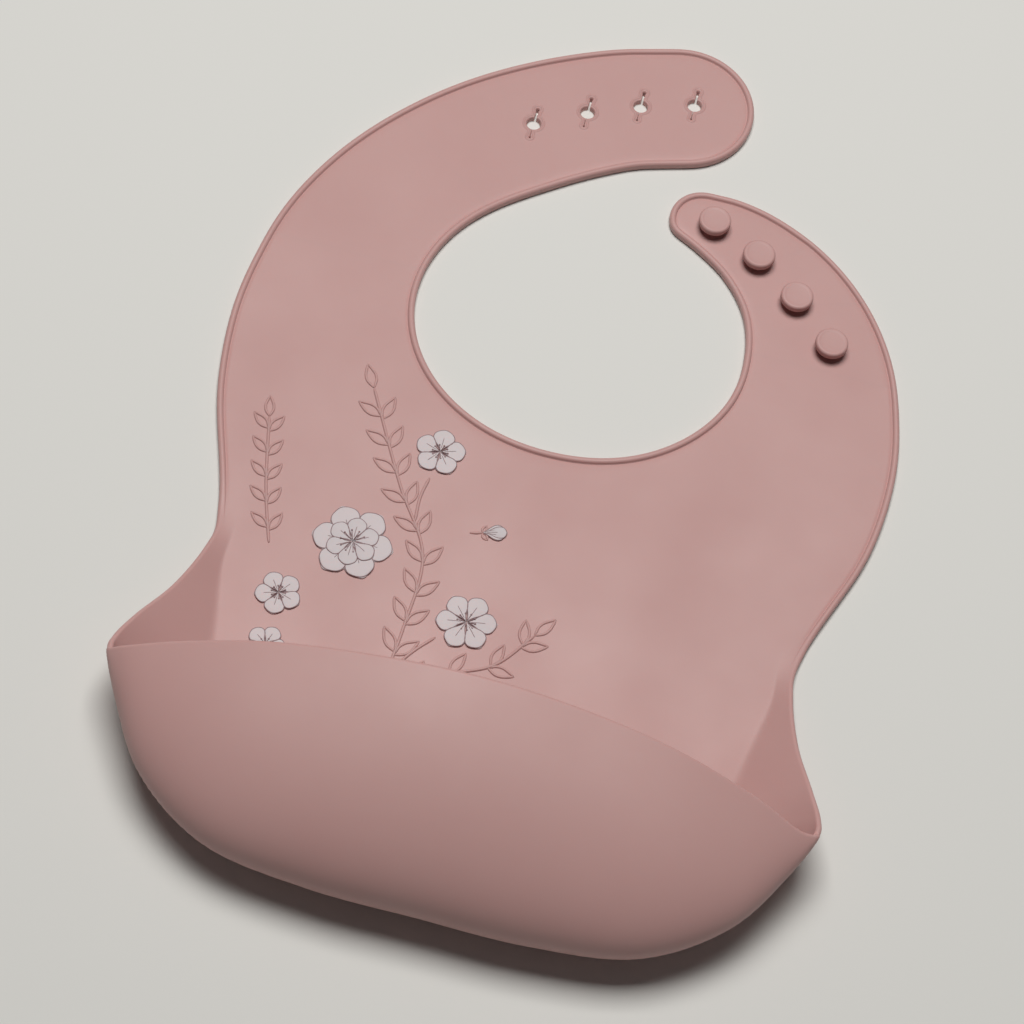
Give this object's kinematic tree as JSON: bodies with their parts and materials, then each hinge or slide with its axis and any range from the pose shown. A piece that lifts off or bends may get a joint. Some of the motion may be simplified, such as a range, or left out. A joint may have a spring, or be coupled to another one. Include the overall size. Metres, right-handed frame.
{
  "type": "silicone bib",
  "caption": "Soft silicone baby bib lying on its back: curved chest panel with raised flowers, deep scoop pocket at the foot, and neck straps that close with studs through keyholes.",
  "frame": {"origin": "middle of the outline on the surface that the bib's back lies on", "axes": "+X across the bib to the side with the studs, +Y from the pocket to the neck straps, +Z out of the front face"},
  "size_m": [0.2048, 0.3093, 0.0429],
  "materials": {
    "pink_silicone": "matte satin",
    "pale_silicone": "matte satin"
  },
  "bodies": {
    "panel": {"chest_panel": "pink_silicone", "pocket_wing_left": "pink_silicone", "pocket_wing_right": "pink_silicone", "pocket_base": "pink_silicone", "stud_4": "pink_silicone", "bloom_large": "pale_silicone", "bloom_upper": "pale_silicone", "bloom_left": "pale_silicone", "bloom_lower": "pale_silicone", "bloom_lip": "pale_silicone", "bud_loose": "pale_silicone", "sprig_tall": "pink_silicone", "sprig_left": "pink_silicone", "sprig_right": "pink_silicone"},
    "hole_strap_shoulder": {"hole_strap_shoulder": "pink_silicone"},
    "hole_strap_middle": {"hole_strap_middle": "pink_silicone"},
    "hole_strap_end": {"hole_strap_end": "pink_silicone"},
    "stud_strap_shoulder": {"stud_strap_shoulder": "pink_silicone", "stud_3": "pink_silicone"},
    "stud_strap_middle": {"stud_strap_middle": "pink_silicone", "stud_2": "pink_silicone"},
    "stud_strap_end": {"stud_strap_end": "pink_silicone", "stud_1": "pink_silicone"},
    "pocket_front": {"pocket_front": "pink_silicone"}
  },
  "joints": [
    {"name": "hole_strap_shoulder_bend", "type": "hinge", "parent": "panel", "child": "hole_strap_shoulder", "pos_m": [-0.06564, 0.07492, 0.0009], "axis": [0.9272, -0.3746, 0], "range_deg": [0, 45], "stiffness_Nm_per_rad": 0.002},
    {"name": "hole_strap_middle_bend", "type": "hinge", "parent": "hole_strap_shoulder", "child": "hole_strap_middle", "pos_m": [-0.04211, 0.1023, 0.0009], "axis": [0.6157, -0.788, 0], "range_deg": [0, 45], "stiffness_Nm_per_rad": 0.002},
    {"name": "hole_strap_end_bend", "type": "hinge", "parent": "hole_strap_middle", "child": "hole_strap_end", "pos_m": [-0.00797, 0.12418, 0.0009], "axis": [0.1045, -0.9945, 0], "range_deg": [0, 45], "stiffness_Nm_per_rad": 0.002},
    {"name": "stud_strap_shoulder_bend", "type": "hinge", "parent": "panel", "child": "stud_strap_shoulder", "pos_m": [0.06882, 0.06228, 0.0009], "axis": [0.9803, 0.1977, 0], "range_deg": [0, 40], "stiffness_Nm_per_rad": 0.002},
    {"name": "stud_strap_middle_bend", "type": "hinge", "parent": "stud_strap_shoulder", "child": "stud_strap_middle", "pos_m": [0.05857, 0.07659, 0.0009], "axis": [0.9011, 0.4337, 0], "range_deg": [0, 40], "stiffness_Nm_per_rad": 0.002},
    {"name": "stud_strap_end_bend", "type": "hinge", "parent": "stud_strap_middle", "child": "stud_strap_end", "pos_m": [0.04291, 0.08786, 0.0009], "axis": [0.7361, 0.6769, 0], "range_deg": [0, 40], "stiffness_Nm_per_rad": 0.002},
    {"name": "pocket_mouth_bend", "type": "hinge", "parent": "panel", "child": "pocket_front", "pos_m": [0, -0.1544, 0.015], "axis": [1, 0, 0], "range_deg": [0, 25], "stiffness_Nm_per_rad": 0.05}
  ],
  "couplings": [
    {"joint": "hole_strap_middle_bend", "follows": "hole_strap_shoulder_bend", "ratio": 1},
    {"joint": "hole_strap_end_bend", "follows": "hole_strap_shoulder_bend", "ratio": 1},
    {"joint": "stud_strap_middle_bend", "follows": "stud_strap_shoulder_bend", "ratio": 1},
    {"joint": "stud_strap_end_bend", "follows": "stud_strap_shoulder_bend", "ratio": 1}
  ]
}
